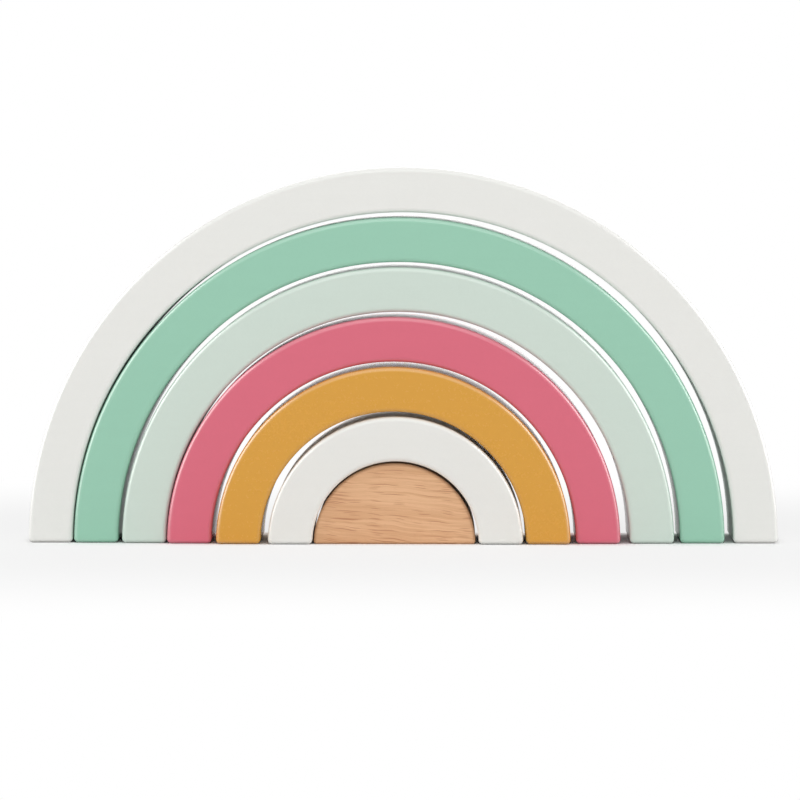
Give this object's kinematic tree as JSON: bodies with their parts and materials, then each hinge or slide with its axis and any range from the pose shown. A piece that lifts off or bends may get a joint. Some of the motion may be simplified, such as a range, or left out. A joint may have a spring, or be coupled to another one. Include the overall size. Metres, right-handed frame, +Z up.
{
  "type": "rainbow stacking toy",
  "caption": "Nesting wooden rainbow: painted half-round arches of growing size stand over one another and over a bare beech half-disc, and lift off one after another for stacking.",
  "frame": {"origin": "on the floor under the middle of the largest arch's width, half way between the foremost and the hindmost face of the nest", "axes": "+X along the nest's width to the right as seen from the front, +Y from the front face to the back face, +Z up"},
  "size_m": [0.3, 0.0464, 0.15],
  "materials": {
    "bare_beech": "satin",
    "warm_white_paint": "satin",
    "mustard_paint": "satin",
    "rose_paint": "satin",
    "pale_mint_paint": "satin",
    "sea_green_paint": "satin"
  },
  "bodies": {
    "plain_core": {"plain_core": "bare_beech"},
    "small_white_arch": {"small_white_arch": "warm_white_paint"},
    "mustard_arch": {"mustard_arch": "mustard_paint"},
    "rose_arch": {"rose_arch": "rose_paint"},
    "pale_mint_arch": {"pale_mint_arch": "pale_mint_paint"},
    "sea_green_arch": {"sea_green_arch": "sea_green_paint"},
    "large_white_arch": {"large_white_arch": "warm_white_paint"}
  },
  "joints": [
    {"name": "small_white_lift", "type": "slide", "parent": "plain_core", "child": "small_white_arch", "axis": [0, 0, 1], "range_m": [0, 0.051]},
    {"name": "mustard_lift", "type": "slide", "parent": "small_white_arch", "child": "mustard_arch", "axis": [0, 0, 1], "range_m": [0, 0.0708]},
    {"name": "rose_lift", "type": "slide", "parent": "mustard_arch", "child": "rose_arch", "axis": [0, 0, 1], "range_m": [0, 0.0906]},
    {"name": "pale_mint_lift", "type": "slide", "parent": "rose_arch", "child": "pale_mint_arch", "axis": [0, 0, 1], "range_m": [0, 0.1104]},
    {"name": "sea_green_lift", "type": "slide", "parent": "pale_mint_arch", "child": "sea_green_arch", "axis": [0, 0, 1], "range_m": [0, 0.1302]},
    {"name": "large_white_lift", "type": "slide", "parent": "sea_green_arch", "child": "large_white_arch", "axis": [0, 0, 1], "range_m": [0, 0.15]}
  ]
}
